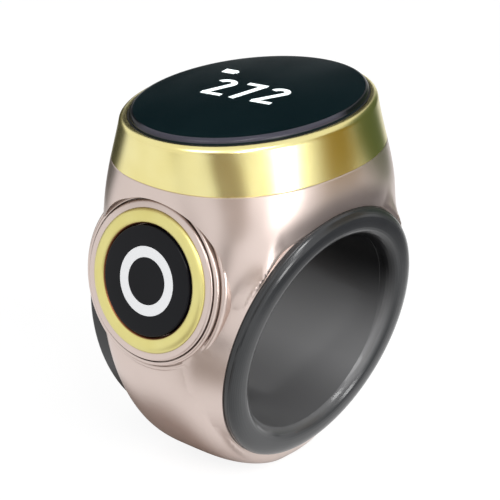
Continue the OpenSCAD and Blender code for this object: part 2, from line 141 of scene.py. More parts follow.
class Finish:
    def __init__(self, name, color, roughness, metallic=0.0, **fixed):
        self.material = bpy.data.materials.new(name)
        self.material.use_nodes = True
        self.tree = self.material.node_tree
        self.surface = self.tree.nodes["Principled BSDF"]
        self.set("Base Color", (*color, 1.0))
        self.set("Roughness", roughness)
        self.set("Metallic", metallic)
        for socket, value in fixed.items():
            self.set(socket.replace("_", " "), value)
        coords = self.tree.nodes.new("ShaderNodeTexCoord")
        self.place = Signal(self, coords.outputs["Object"])

    def node(self, kind, settings=None, inputs=None, output=0):
        made = self.tree.nodes.new(kind)
        for key, value in (settings or {}).items():
            setattr(made, key, value)
        for key, value in (inputs or {}).items():
            self.feed(made.inputs[key], value)
        return Signal(self, made.outputs[output])

    def feed(self, socket, value):
        if isinstance(value, Signal):
            self.tree.links.new(value.socket, socket)
        else:
            socket.default_value = value

    def set(self, name, value):
        self.feed(self.surface.inputs[name], value)

    def noise(self, per_mm, detail=3.0, stretch=None):
        where = self.place
        if stretch:
            where = self.node("ShaderNodeMapping", None, {"Vector": self.place, "Scale": stretch})
        return self.node("ShaderNodeTexNoise", None,
                         {"Vector": where, "Scale": per_mm * 1000, "Detail": detail})

    def blend(self, mask, low, high):
        return self.node("ShaderNodeMix", {"data_type": "RGBA"},
                         {"Factor": mask, MIX_LOW: low, MIX_HIGH: high}, MIX_RESULT)

    def tint(self, mask, low, high):
        """From one screen colour to another."""
        return self.blend(mask, (*linear(*low), 1.0), (*linear(*high), 1.0))

    def vary(self, mask, low, high, smooth, rougher):
        """One mask for colour and roughness, because worn or dusty spots change both."""
        self.set("Base Color", self.tint(mask, low, high))
        self.set("Roughness", smooth + mask * rougher)

    def fade(self, value, start_mm, end_mm):
        """0 at one distance, 1 at the other, and smooth in between."""
        return self.node("ShaderNodeMapRange", {"interpolation_type": "SMOOTHSTEP"},
                         {"Value": value, "From Min": start_mm * MM, "From Max": end_mm * MM})

    def painted_groove_shade(self, face, deep, reach_mm, closed, open_air):
        """The face's tone in open air, and painted shade of a deep screen colour where near surfaces close
        in.
        """
        air = self.node("ShaderNodeAmbientOcclusion", {"samples": 12}, {"Distance": reach_mm * MM}, 1)
        open_share = self.node("ShaderNodeMapRange", None,
                          {"Value": air, "From Min": closed, "From Max": open_air})
        return self.blend(open_share, (*linear(*deep), 1), face)

    def bump(self, height, strength, depth_mm=0.01):
        self.set("Normal", self.node("ShaderNodeBump", None,
                 {"Height": height, "Strength": strength, "Distance": depth_mm * MM}))


print("screen grey 128 is", [round(v, 3) for v in linear(128, 128, 128)], "in linear light")

# %% [markdown]
# ## Finishes of the outside
# The body is metal with a satin, slightly pink coat. Its sheen isn't even: a slow change
# in roughness breaks up the reflections, and a very fine grain softens them. Its grooves
# get painted shade: the coat's colour darkens where little open air is above it, and the
# trim's pale gold gets the same. The gold is polished evenly and mirrors the studio, and
# only its colour drifts a little.

# %% Champagne body and gold
rose = Finish("rose_satin_metal", linear(220, 205, 196), 0.3, 0.92)
rose_cloud = rose.noise(0.18, 2.0)
rose_grain = rose.noise(14, 2.0)
rose_face = rose.tint(rose_cloud, (210, 193, 185), (221, 205, 198))
# Painted shade: the body's colour darkens in its grooves and where parts close in.
rose.set("Base Color", rose.painted_groove_shade(rose_face, (172, 156, 147), 1.6, 0.2, 0.95))
rose.set("Roughness", 0.24 + rose_cloud * 0.08 + rose_grain * 0.05)
rose.bump(rose_grain, 0.12)

gold = Finish("polished_gold", linear(230, 212, 126), 0.24, 1.0)
gold_cloud = gold.noise(0.25, 2.0)
gold.set("Base Color", gold.tint(gold_cloud, (230, 216, 142), (243, 234, 174)))

pale_gold = Finish("satin_pale_gold", linear(232, 222, 142), 0.34, 0.75)
pale_grain = pale_gold.noise(16, 2.0)
pale_cloud = pale_gold.noise(0.3, 2.0)
pale_face = pale_gold.tint(pale_cloud, (226, 213, 128), (238, 230, 158))
# Painted shade in the trim's grooves too.
pale_tone = pale_gold.painted_groove_shade(pale_face, (150, 128, 48), 0.5, 0.4, 0.95)
pale_gold.set("Roughness", 0.3 + pale_grain * 0.1)
pale_gold.bump(pale_grain, 0.1)
print("metals", rose.material.name, gold.material.name, pale_gold.material.name)

# %% [markdown]
# ## Dark finishes
# The liner is moulded in dark resin with a soft shine, so it has a fine pebble in its
# bump. Inside the bore its colour is painted light and shade: paler on the palm side
# and nearly black towards the top. The distance from the bore's axis and the height say
# where; the same mask puts a coat on the palm side, and a coat keeps the flange glossy.
# The display and the button are glossy black, and a slow noise in the roughness
# gives the faint smears of real glass.

# %% Liner
liner = Finish("dark_moulded_liner", linear(66, 68, 72), 0.3)
liner_cloud = liner.noise(0.3, 2.0)
liner_grain = liner.noise(9, 2.0)
flat = liner.node("ShaderNodeVectorMath", {"operation": "MULTIPLY"}, {0: liner.place, 1: (1, 0, 1)})
reach = liner.node("ShaderNodeVectorMath", {"operation": "LENGTH"}, {0: flat}, 1)
height = liner.node("ShaderNodeSeparateXYZ", None, {0: liner.place}, 2)
inside = liner.fade(reach, 10.9, 10.05)
# Painted light and shade: this mask makes the sleeve paler on the palm side and nearly black at the top.
palm_lit_mask = liner.fade(height, 5.0, -5.5) * (1 - 0.5 * liner.fade(height, -6.0, -9.8))
flange_tone = liner.tint(liner_cloud, (41, 43, 45), (53, 54, 56))
sleeve_light_and_shade = liner.tint(palm_lit_mask, (14, 14, 16), (140, 140, 141))
liner.set("Base Color", liner.blend(inside, flange_tone, sleeve_light_and_shade))
liner.set("Specular IOR Level", 0.1)
liner.set("Coat Roughness", 0.13)
liner.set("Coat Weight", (1 - inside * (1 - palm_lit_mask)) * 0.7)
liner.set("Roughness", 0.26 + liner_grain * 0.08)
liner.bump(liner_grain, 0.05)
print("dark resin", liner.material.name)

# %% [markdown]
# The edge of the glass is ground. It gets a painted highlight: grey towards the front
# left and nearly black elsewhere, so a direction across the glass blends the two. The
# cap is the same kind of black as the glass, only smoother.

# %% Glass, its edge and the cap
glass = Finish("black_display_glass", linear(17, 26, 30), 0.2, 0.0, Specular_IOR_Level=0.16)
glass_smear = glass.noise(0.12, 3.0, (1, 2.5, 1))
glass.vary(glass_smear, (10, 27, 31), (17, 37, 41), 0.12, 0.08)

edge_glass = Finish("ground_glass_edge", linear(62, 61, 72), 0.22, 0.0, IOR=1.3)
edge_grain = edge_glass.noise(10, 2.0)
edge_side = edge_glass.node("ShaderNodeVectorMath", {"operation": "DOT_PRODUCT"},
                            {0: edge_glass.place, 1: (-1, -1.37, 0)}, 1)
edge_highlight_tone = edge_glass.tint(edge_grain, (56, 55, 66), (76, 74, 86))
# Painted highlight: grey on the edge's front left side, nearly black elsewhere.
edge_painted_highlight = edge_glass.fade(edge_side, 8.5, 11.5)
edge_glass.set("Base Color", edge_glass.blend(edge_painted_highlight, (0.004, 0.005, 0.008, 1), edge_highlight_tone))
edge_glass.set("Roughness", 0.18 + edge_grain * 0.1)

cap_black = Finish("glossy_black_cap", linear(27, 28, 34), 0.16, 0.0, Specular_IOR_Level=0.15)
cap_smear = cap_black.noise(0.3, 3.0)
cap_black.vary(cap_smear, (15, 16, 21), (22, 23, 28), 0.1, 0.08)
print("black finishes", glass.material.name, edge_glass.material.name, cap_black.material.name)

# %% [markdown]
# The ring on the cap is a white inlay, and a painted glow of emission keeps it bright in
# the shade. The digits are light, so nearly all of their colour is emission.

# %% White inlay, lit digits and black seal
# The inlay's emission is a painted glow.
mark_white = Finish("white_inlay", linear(240, 241, 243), 0.4, Emission_Strength=0.25)
mark_grain = mark_white.noise(6, 2.0)
mark_white.vary(mark_grain, (244, 245, 247), (252, 252, 253), 0.34, 0.1)
mark_white.set("Emission Color", mark_white.tint(mark_grain, (236, 240, 244), (248, 250, 252)))

lit = Finish("lit_digits", linear(236, 246, 246), 0.4)
lit_cell = lit.noise(5, 1.0)
lit.set("Emission Color", lit.tint(lit_cell, (238, 250, 250), (252, 255, 255)))
lit.set("Emission Strength", 0.85)

seal_black = Finish("black_seal", linear(16, 16, 18), 0.6)
seal_grain = seal_black.noise(8, 2.0)
seal_black.set("Base Color", seal_black.tint(seal_grain, (11, 11, 13), (22, 22, 25)))
seal_black.bump(seal_grain, 0.2)
print("mark, digits and seal", mark_white.material.name, lit.material.name, seal_black.material.name)

# %% [markdown]
# ## Helpers that make meshes
# Nearly every part of this ring is either a stack of closed rings (the body, the bezel
# and the glass) or a profile turned about an axis (the button and the tools that cut the
# holes). Both are the same thing to a mesh: rows of points joined by four-sided faces.

# %% Mesh from rows of points
def add_piece(name, points, faces, finish, body, sharp=32):
    mesh = bpy.data.meshes.new(name)
    mesh.from_pydata([Vector(p) * MM for p in points], [], faces)
    work = bmesh.new()
    work.from_mesh(mesh)
    bmesh.ops.recalc_face_normals(work, faces=work.faces)
    work.to_mesh(mesh)
    work.free()
    piece = bpy.data.objects.new(name, mesh)
    bpy.context.scene.collection.objects.link(piece)
    mesh.materials.append(finish.material)
    soften(mesh, sharp)
    if body:
        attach(piece, body)
    return piece


def soften(mesh, sharp):
    mesh.polygons.foreach_set("use_smooth", [True] * len(mesh.polygons))
    mesh.set_sharp_from_angle(angle=radians(sharp))


def rows(rings, capped=True, looped=False):
    """Points and faces of a stack of rings with the same number of points."""
    steps = len(rings[0])
    points = [p for ring in rings for p in ring]
    faces = []
    for j in range(len(rings) - (0 if looped else 1)):
        low = j * steps
        high = (j + 1) % len(rings) * steps
        for i in range(steps):
            k = (i + 1) % steps
            faces.append((low + i, low + k, high + k, high + i))
    if capped and not looped:
        faces.append(tuple(range(steps)))
        faces.append(tuple((len(rings) - 1) * steps + i for i in range(steps)))
    return points, faces


print("a cube would have", len(rows([[(0, 0, 0)] * 4] * 2)[1]), "faces")

# %% [markdown]
# A lathe makes the button's parts, and so does this function: it turns a list of radius
# and height about an axis. An arc gives the profile its rounded edges.

# %% Profile turned about an axis
def turned(name, profile, place, finish, body, steps=192, looped=True, sharp=32):
    rings = [[place @ Vector((r * cos(2 * pi * i / steps), r * sin(2 * pi * i / steps), z))
              for i in range(steps)] for r, z in profile]
    points, faces = rows(rings, not looped, looped)
    return add_piece(name, points, faces, finish, body, sharp)


def arc(cx, cz, rx, rz, start, end, count):
    return [(cx + rx * cos(radians(start + (end - start) * i / count)),
             cz + rz * sin(radians(start + (end - start) * i / count))) for i in range(count + 1)]


print("a quarter arc in 2 steps", [(round(x, 2), round(z, 2)) for x, z in arc(0, 0, 1, 1, 0, 90, 2)])

# %% [markdown]
# ## Sizes, in millimetres
# These numbers are the solid model's own, so each new mesh lies on the surface that it
# stands for. A face of the ring is its depth at the bore and how far it leans.
# The three matrices put a turned shape on the button's axis and on the axes of the two
# leaning flanges.

# %% Sizes and places
front_face, back_face = (9.2, radians(10)), (7.6, radians(13))
ring_r, side_a, seam_z, seam_bevel = 14.8, 14.2, 16.4, 0.07
palm_round, palm_pull, waist_z = 2.4, 0.85, 12
palm_square, bore_square, oval, square_top, square_fall = 3.4, 5, 2, 2, 1.7
crown_z, crown_a, crown_b, crown_round, crown_slope = 20.75, 14.15, 10.1, 0.55, 0.25
glass_a, glass_b, glass_low, glass_top, glass_chamfer = 13.3, 9.25, 19.65, 21.35, 0.45
bay_a, bay_b, bay_floor, glass_ledge = 11.8, 8.1, 11.4, 19.4
sleeve_r, flange_r, flange_t = 10.8, 13.0, 1.5
cap_r, cap_t, trim_in, trim_r, lip_r = 5.18, 0.8, 5.26, 6.77, 7.5
mark_in, mark_out, mark_deep = 2.22, 3.24, 0.2
slip, clear_of_skin = 0.03, 12

on_button = Matrix.Translation((-14.1, 0, 6.95)) @ Matrix.Rotation(radians(9.4 - 90), 4, "Y")


def on_face(face):
    return Matrix.Translation((0, -face[0], 0)) @ Matrix.Rotation(pi / 2 + face[1], 4, "X")


on_front = on_face(front_face)
on_back = Matrix.Diagonal((1, -1, 1, 1)) @ on_face(back_face)
print("button face", [round(v, 2) for v in on_button.translation])

# %% [markdown]
# ## The skin of the body
# One formula gives the outline at any height: half a width, half a depth and how square
# the outline is. Low down it is a rounded oblong, and it turns into an oval at the crown.
# A formula like this stays smooth however finely it is sampled.

# %% Outline at a height
def half_width(z):
    if z < 0:
        return side_a * sqrt(max(0, 1 - (z / ring_r) ** 2))
    return side_a - (side_a - crown_a) * z / crown_z


def half_depth(z, face):
    """A leaning face up to the waist, and above it a smooth curve that ends at the crown."""
    depth, face_lean = face
    if z < waist_z:
        k = 1 - (z + ring_r) / palm_round
        cut = 0 if k <= 0 else palm_round * palm_pull * (1 - sqrt(max(0, 1 - k * k)))
        return depth + tan(face_lean) * z - cut
    span = crown_z - waist_z
    t = (z - waist_z) / span
    return ((2 * t ** 3 - 3 * t * t + 1) * (depth + tan(face_lean) * waist_z)
            + (t ** 3 - 2 * t * t + t) * span * tan(face_lean)
            + (3 * t * t - 2 * t ** 3) * crown_b - (t ** 3 - t * t) * span * crown_slope)


def square_at(z):
    """Exponent of the outline: 2 is an oval, and more is squarer."""
    if z < 0:
        return bore_square + (bore_square - palm_square) * z / ring_r
    if z < square_top:
        return bore_square
    return oval + (bore_square - oval) * ((crown_z - z) / (crown_z - square_top)) ** square_fall


print("half depth at the bore and the crown", round(half_depth(0, front_face), 2),
      round(half_depth(crown_z, front_face), 2))

# %% [markdown]
# A ring of the skin goes once round the outline at its height. The front and the back
# lean by different angles, so each half takes its own depth.

# %% One ring of the skin
STEPS = 384


def skin_ring(z, inset=0.0):
    ring = []
    n = square_at(z)
    a = half_width(z) - inset
    for i in range(STEPS):
        t = 2 * pi * i / STEPS
        b = half_depth(z, front_face if t > pi else back_face) - inset
        r = (abs(cos(t)) ** n + abs(sin(t)) ** n) ** (-1 / n)
        ring.append((a * cos(t) * r, b * sin(t) * r, z))
    return ring


def oval_ring(a, b, z):
    return [(a * cos(2 * pi * i / STEPS), b * sin(2 * pi * i / STEPS), z) for i in range(STEPS)]


print("skin at the seam", round(half_width(seam_z), 2), round(half_depth(seam_z, front_face), 2))

# %% [markdown]
# ## The metal body
# A watch case like this is pressed and then milled. The mesh is made the same way: the
# skin first, then the stepped boss round the button is joined to it, and then the holes
# are cut. Boolean modifiers do the joining and cutting, and are applied at once. They
# leave slivers where a cut runs along an edge, so the last step welds the mesh shut.

# %% Joining and cutting
TOOL_STEPS, WELD_REACH, HOLE_SIDES = 160, 0.002, 6


def carve(piece, tool, operation):
    cutter = piece.modifiers.new("carve", "BOOLEAN")
    cutter.operation = operation
    cutter.solver = "MANIFOLD"
    cutter.object = tool
    bpy.context.view_layer.update()
    graph = bpy.context.evaluated_depsgraph_get()
    done = bpy.data.meshes.new_from_object(piece.evaluated_get(graph))
    piece.modifiers.clear()
    piece.data = done
    bpy.data.objects.remove(tool)
    print("  after", operation.lower(), len(done.polygons), "faces")


def weld(mesh):
    """Join points that lie on each other, and drop the slivers that the cuts leave."""
    work = bmesh.new()
    work.from_mesh(mesh)
    bmesh.ops.remove_doubles(work, verts=work.verts, dist=WELD_REACH * MM)
    bmesh.ops.dissolve_degenerate(work, edges=work.edges, dist=WELD_REACH * MM)
    bmesh.ops.triangulate(work, faces=work.faces)
    same = {}
    for face in work.faces:
        same.setdefault(frozenset(v.index for v in face.verts), []).append(face)
    folded = [face for pair in same.values() if len(pair) > 1 for face in pair]
    bmesh.ops.delete(work, geom=folded, context="FACES")
    bmesh.ops.delete(work, geom=[v for v in work.verts if not v.link_faces], context="VERTS")
    rims = [e for e in work.edges if len(e.link_faces) == 1]
    bmesh.ops.holes_fill(work, edges=rims, sides=HOLE_SIDES)
    open_edges = sum(1 for e in work.edges if len(e.link_faces) != 2)
    work.to_mesh(mesh)
    work.free()
    print("  welded,", len(mesh.polygons), "faces,", len(folded), "of them folded away,",
          open_edges, "edges without two faces")


def tool_turned(profile, place):
    return turned("tool", profile, place, rose, None, steps=TOOL_STEPS, looped=False)


print("tools are turned in", TOOL_STEPS, "steps, and a weld reaches", WELD_REACH, "mm")

# %% [markdown]
# ## The land round the front flange
# The flange lies in a round land, which stands proud of the skin where the corners fall
# away. A boolean alone would leave a crease, but on the real case the two flow into each
# other. So before the land is joined, each point of the skin that faces forward slides
# out along its normal to the blend of the two shapes, and a bisection finds how far.

# %% Skin that flows into the land
LAND = [(13.15, -0.35), (13.3, -1.0), (13.55, -1.8), (13.9, -2.7), (14.15, -3.6), (14.15, -4.6)]
SUNK, LIFT, BLEND = 0.4, 0.05, 2.2
FORWARD, BELOW_RIM = (0.72, 0.93), (0.3, 1.1)
FURTHEST, HALVINGS = 4.0, 16


def land_gap(q):
    """Distance of a point, in the flange's own frame, from the sunk land: negative inside."""
    height, r = q.z + LIFT, hypot(q.x, q.y)
    gap = q.z + SUNK - LAND[0][1]
    for (r0, z0), (r1, z1) in zip(LAND, LAND[1:]):
        share = min(1, max(0, (z0 - height) / (z0 - z1)))
        if height >= z1:
            break
    return max(gap, (r - r0 - (r1 - r0) * share) * (z0 - z1) / hypot(r1 - r0, z0 - z1))


def blend_of(first, second, soft):
    """The nearer of two distances, with a soft dip where both are close."""
    dip = max(0, soft - abs(first - second))
    return min(first, second) - (dip * dip / soft / 4 if soft else 0)


def ease(value, start, end):
    t = min(1, max(0, (value - start) / (end - start)))
    return t * t * (3 - 2 * t)


def with_land(rings):
    to_front = on_front.inverted()
    done = [list(ring) for ring in rings]
    moved = []
    for j in range(1, len(rings) - 1):
        for i, point in enumerate(rings[j]):
            start = to_front @ Vector(point)
            sideways = Vector(rings[j][(i + 1) % STEPS]) - Vector(rings[j][i - 1])
            upwards = Vector(rings[j + 1][i]) - Vector(rings[j - 1][i])
            out = to_front.to_3x3() @ sideways.cross(upwards).normalized()
            share = ease(out.z, *FORWARD)
            soft = BLEND * ease(-start.z, *BELOW_RIM)
            if share == 0 or soft == 0 or land_gap(start) > soft:
                continue
            short, far = 0.0, FURTHEST
            for _ in range(HALVINGS):
                middle = (short + far) / 2
                if blend_of(middle, land_gap(start + out * middle), soft) < 0:
                    short = middle
                else:
                    far = middle
            done[j][i] = tuple(on_front @ (start + out * far * share))
            moved.append(far * share)
    print("points moved for the land", len(moved), "by up to", round(max(moved), 2), "mm")
    return done


print("gap from the bore's centre to the land", round(land_gap(on_front.inverted() @ Vector((0, 0, 0))), 2))

# %% [markdown]
# ## Skin and stepped boss
# The rings of the palm stand at even angles round the finger, and those of the sides at
# even heights. Round the button the real case has two soft steps in a shallow dish. The
# recess and the dish are cut first, and the steps and the land are then joined on.

# %% Skin, dish, boss and land
palm_rows, side_rows, palm_start = 80, 60, 6
palm_angles = [radians(palm_start + (90 - palm_start) * i / palm_rows) for i in range(palm_rows + 1)]
palm_heights = [-ring_r * cos(angle) for angle in palm_angles]
side_heights = [(seam_z - seam_bevel) * i / side_rows for i in range(1, side_rows + 1)]
body_rings = [skin_ring(z) for z in palm_heights + side_heights] + [skin_ring(seam_z, seam_bevel)]
points, faces = rows(with_land(body_rings))
body = add_piece("body_shell", points, faces, rose, None)
recess_r, recess_depth, dish_down, dish_aside = 7.75, 1.6, -0.45, -1.0
outer_step = arc(8.2, -1.45, 0.32, 0.4, 0, 115, 10)
inner_step = arc(7.72, -0.88, 0.25, 0.28, -10, 115, 10)
boss = [(8.52, -2.6)] + outer_step + [(8.0, -1.25)] + inner_step + [(7.55, -0.85)]
on_dish = on_button @ Matrix.Translation((dish_down, dish_aside, 0))
carve(body, tool_turned([(recess_r, -recess_depth), (recess_r, clear_of_skin)], on_button), "DIFFERENCE")
carve(body, tool_turned([(7.8, -1.15), (8.0, -1.0), (8.4, 0.2), (10, clear_of_skin)], on_dish), "DIFFERENCE")
carve(body, tool_turned(boss, on_button), "UNION")
carve(body, tool_turned(LAND[::-1], on_front), "UNION")
print("skin faces", len(body.data.polygons))

# %% [markdown]
# ## Holes through the body
# A mill would cut these from outside, each with a round tool on its own axis: the bore,
# a seat for each flange, and a seat and a deeper room for the button. The oval bay for
# the electronics is cut from above.

# %% Bore, seats and bay
finger_axis = Matrix.Rotation(pi / 2, 4, "X")
through, lip_seat, room_r, room_depth = 30, 1.35, 5.93, 2.13
holes = [(sleeve_r + slip, -through, through, finger_axis),
         (flange_r + slip, -flange_t, clear_of_skin, on_front),
         (flange_r + slip, -flange_t, clear_of_skin, on_back),
         (lip_r + slip, -lip_seat, clear_of_skin, on_button),
         (room_r, -room_depth, 1, on_button)]
for radius, bottom, top, place in holes:
    carve(body, tool_turned([(radius, bottom), (radius, top)], place), "DIFFERENCE")
points, faces = rows([oval_ring(bay_a, bay_b, bay_floor), oval_ring(bay_a, bay_b, seam_z + 1)])
carve(body, add_piece("tool", points, faces, rose, None), "DIFFERENCE")
weld(body.data)
soften(body.data, 28)
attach(body, "case")
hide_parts("ring_body")
print("body faces", len(body.data.polygons))

# %% [markdown]
# ## The gold bezel
# The bezel is a hoop, so its rings close on themselves: up the outside, over a rounded
# edge, down to the ledge that carries the glass, and back down inside the bay. A tiny
# bevel where it meets the body makes the dark seam line that is seen all round.

# %% Bezel
wall_rows, edge_rows, seat_gap, seat_bevel = 24, 10, 0.14, 0.06
wall = crown_z - crown_round - seam_z - seam_bevel
outer = [(seam_z, seam_bevel), (seam_z + seam_bevel, 0.0)]
outer = outer + [(seam_z + seam_bevel + wall * i / wall_rows, 0) for i in range(1, wall_rows + 1)]
quarter = [pi / 2 * i / edge_rows for i in range(1, edge_rows + 1)]
outer = outer + [(crown_z - crown_round * (1 - sin(t)), crown_round * (1 - cos(t))) for t in quarter]
seat_a, seat_b = glass_a + seat_gap, glass_b + seat_gap
inner = [(seat_a + seat_bevel, seat_b + seat_bevel, crown_z), (seat_a, seat_b, crown_z - seat_bevel),
         (seat_a, seat_b, glass_ledge), (bay_a, bay_b, glass_ledge), (bay_a, bay_b, seam_z)]
bezel_rings = [skin_ring(z, inset) for z, inset in outer] + [oval_ring(a, b, z) for a, b, z in inner]
points, faces = rows(bezel_rings, capped=False, looped=True)
bezel = add_piece("gold_bezel", points, faces, gold, "case")
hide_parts("bezel")
print("bezel faces", len(faces))

# %% [markdown]
# ## Glass
# The glass stands a little above the gold, and its ground edge has a painted highlight on
# its front left. Face and edge are one mesh with two finishes, given out by the slope of each
# face, so the line between them stays exact.

# %% Display glass
face_drop, edge_share, glass_steps = 0.03, 0.93, 8
steepest, flattest = 0.05, 0.97
face_top = glass_top - face_drop
glass_rings = [oval_ring(glass_a, glass_b, glass_low), oval_ring(glass_a, glass_b, glass_top - glass_chamfer)]
for i in range(1, glass_steps + 1):
    t = pi / 2 * i / glass_steps
    drop = glass_chamfer * (1 - sin(t)) * edge_share
    inset = glass_chamfer * (1 - cos(t))
    glass_rings.append(oval_ring(glass_a - inset, glass_b - inset, face_top - drop))
points, faces = rows(glass_rings)
display = add_piece("display_window", points, faces, glass, "case", 60)
display.data.materials.append(edge_glass.material)
for face in display.data.polygons:
    if steepest < face.normal.z < flattest:
        face.material_index = 1
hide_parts("display_glass")
print("glass top", max(v.co.z for v in display.data.vertices))

# %% [markdown]
# ## The lit number
# The count on the display is made of strokes. Each stroke is a strip that follows a line
# of points, and where two parts of a digit meet the strip turns on a mitre. The digits
# lean, so they are placed with two directions on the glass that aren't quite square: one
# along the line that is read, and one up the digits.

# %% Strokes on the glass
digit_start = Vector((-2.79, 3.87))
reading = Vector((0.285, -0.958))
upward = Vector((0.975, 0.17))
sunk = 0.01


def on_glass(p):
    q = digit_start + reading * p[0] + upward * p[1]
    return (q[0], q[1])


def strip(name, line, width):
    sides = []
    for i, p in enumerate(line):
        before = Vector(line[max(0, i - 1)])
        after = Vector(line[min(len(line) - 1, i + 1)])
        along = (after - before).normalized()
        across = Vector((-along[1], along[0])) * width / 2
        sides.append((Vector(p) + across, Vector(p) - across))
    outline = [s[0] for s in sides] + [s[1] for s in reversed(sides)]
    flat = [on_glass(p) for p in outline]
    low = [(x, y, face_top - sunk) for x, y in flat]
    high = [(x, y, glass_top) for x, y in flat]
    count = len(sides)
    total = 2 * count
    strip_faces = []
    for i in range(count - 1):
        a, b, c, d = i, i + 1, total - 2 - i, total - 1 - i
        strip_faces.append((a, b, c, d))
        strip_faces.append((total + a, total + b, total + c, total + d))
    for i in range(total):
        k = (i + 1) % total
        strip_faces.append((i, k, total + k, total + i))
    piece = add_piece(name, low + high, strip_faces, lit, "case")
    return piece


print("digits start", digit_start[:], "and stand", round(glass_top - face_top + sunk, 3), "mm deep")

# %% [markdown]
# The display shows 272 and a small battery sign. A two is an arc that runs down into a
# slanting line, with a straight foot, and a seven is a bar with a slanting line.

# %% Three digits and a charge bar
PITCH, TALL, WIDE, STROKE = 2.52, 4.62, 2.0, 0.56


def draw_two(name, shift, slant):
    bow = WIDE / 2 - STROKE / 2
    top = arc(WIDE / 2, TALL - WIDE / 2 - 0.05, bow, bow, 165, -25, 14)
    line = [(shift + x + slant, y) for x, y in top]
    line = line + [(shift + 0.3, STROKE * 0.9), (shift + 0.27, STROKE / 2 + 0.02)]
    strip(name, line, STROKE)
    strip(name + "_foot", [(shift + 0.02, STROKE / 2), (shift + WIDE, STROKE / 2)], STROKE)


draw_two("digit_left", 0, -0.25)
bar_y = TALL - STROKE / 2
strip("digit_middle_top", [(PITCH + 0.05, bar_y), (PITCH + WIDE, bar_y)], STROKE)
strip("digit_middle", [(PITCH + WIDE - 0.27, bar_y), (PITCH + 0.62, 0)], STROKE)
draw_two("digit_right", 2 * PITCH, 0.15)
charge_y, charge_end = 6.75, -0.07
strip("charge_bar", [(-1.32, charge_y), (charge_end, charge_y)], 1.02)
strip("charge_tip", [(charge_end, charge_y), (0.13, charge_y)], 0.5)
print("digits drawn")

# %% [markdown]
# ## The button
# The button is a stack of turned parts. The cap has a soft edge and a groove for the
# white ring, which lies a hair below the face. The cap, its stem and the ring are the
# only pieces here that ride on the moving body.

# %% Cap, stem and mark
cap_edge, mark_below = 0.14, 0.004
cap_profile = [(cap_r, -cap_t), (cap_r, -cap_edge)]
cap_profile = cap_profile + arc(cap_r - cap_edge, -cap_edge, cap_edge, cap_edge, 15, 90, 6)
groove = [(mark_out, 0), (mark_out, -mark_deep), (mark_in, -mark_deep), (mark_in, 0)]
stem = [(1.15, -2.34), (1.3, -2.2), (1.3, -cap_t)]
cap = turned("button_face", cap_profile + groove + [(0.4, 0)], on_button, cap_black, "button", looped=False)
post = turned("button_stem", stem, on_button, cap_black, "button", steps=96, looped=False)
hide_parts("button_cap")
inlay = [(mark_in, -mark_deep), (mark_out, -mark_deep), (mark_out, -mark_below), (mark_in, -mark_below)]
mark = turned("white_ring", inlay, on_button, mark_white, "button")
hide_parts("button_mark")
print("cap and mark", cap.name, mark.name)

# %% [markdown]
# The trim is a gold band with a domed front. At its inner edge a thin copper line runs
# round the cap. The line is a fade on the distance from the button's axis, and a mapping
# node finds that by undoing the button's place and turn.

# %% Trim with a copper line at its inner edge
trim_foot, trim_shoulder, trim_rise = -1.0, -0.4, 0.42
copper_line_from, copper_line_full = trim_in + 0.24, trim_in + 0.12
trim_mid, trim_half = (trim_in + trim_r) / 2, (trim_r - trim_in) / 2
trim_profile = [(trim_in, trim_foot), (trim_r, trim_foot)]
trim_profile = trim_profile + arc(trim_mid, trim_shoulder, trim_half, trim_rise, 0, 180, 24)
trim = turned("gold_trim", trim_profile, on_button, pale_gold, "case")
trim_place = pale_gold.node("ShaderNodeMapping", {"vector_type": "TEXTURE"},
                            {"Vector": pale_gold.place, "Location": on_button.translation * MM,
                             "Rotation": on_button.to_euler()})
trim_flat = pale_gold.node("ShaderNodeVectorMath", {"operation": "MULTIPLY"},
                           {0: trim_place, 1: (1, 1, 0)})
trim_reach = pale_gold.node("ShaderNodeVectorMath", {"operation": "LENGTH"}, {0: trim_flat}, 1)
copper_line_mask = pale_gold.fade(trim_reach, copper_line_from, copper_line_full)
copper = (*linear(132, 76, 50), 1)
pale_gold.set("Base Color", pale_gold.blend(copper_line_mask, pale_tone, copper))
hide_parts("button_trim")
print("trim", trim.name, "copper inside", round(copper_line_full, 2), "mm")

# %% [markdown]
# ## Solids that only need a finish
# The collar, the liner and the seals are turned solids that are already round enough, so
# they keep their own mesh and only get a new finish.

# %% Finishes on collar, seals and liner
def dress(finish, *names):
    for name in names:
        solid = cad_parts[name]
        solid.data.materials.clear()
        solid.data.materials.append(finish.material)
    print(finish.material.name, "on", ", ".join(names))


dress(rose, "button_collar")
dress(seal_black, "glass_gasket", "bezel_seal", "button_seal", "battery_pad")
dress(liner, "finger_liner", "rear_flange")

# %% [markdown]
# ## Finishes inside
# The inner parts are sealed away, yet each has the finish of the real one: brushed
# spring steel, amber flexible board with copper under it, green board with a fine weave,
# and the crinkled foil of a pouch cell. They show when the ring is opened or exported.

# %% Steel, flexible board and contacts
steel = Finish("brushed_spring_steel", linear(176, 178, 182), 0.32, 1.0)
steel_brush = steel.noise(2, 3.0, (1, 12, 1))
steel.vary(steel_brush, (160, 162, 167), (192, 194, 198), 0.24, 0.18)
steel.bump(steel_brush, 0.12)

amber = Finish("amber_flexible_board", linear(176, 104, 36), 0.35)
amber_tracks = amber.node("ShaderNodeTexWave", {"bands_direction": "Y"},
                          {"Vector": amber.place, "Scale": 900.0, "Distortion": 0.4})
amber.vary(amber_tracks, (160, 88, 28), (198, 124, 52), 0.3, 0.1)

contact = Finish("plated_contact", linear(222, 186, 90), 0.22, 1.0)
contact_wear = contact.noise(2.5, 3.0)
contact.vary(contact_wear, (208, 170, 76), (232, 200, 108), 0.16, 0.2)
print("inner metals", steel.material.name, amber.material.name, contact.material.name)

# %% [markdown]
# Lacquer over woven glass makes the board green with a fine check in its gloss. The
# moulded parts are matt black, the small components are ivory ceramic, and a strong bump
# crinkles the foil of the cell.

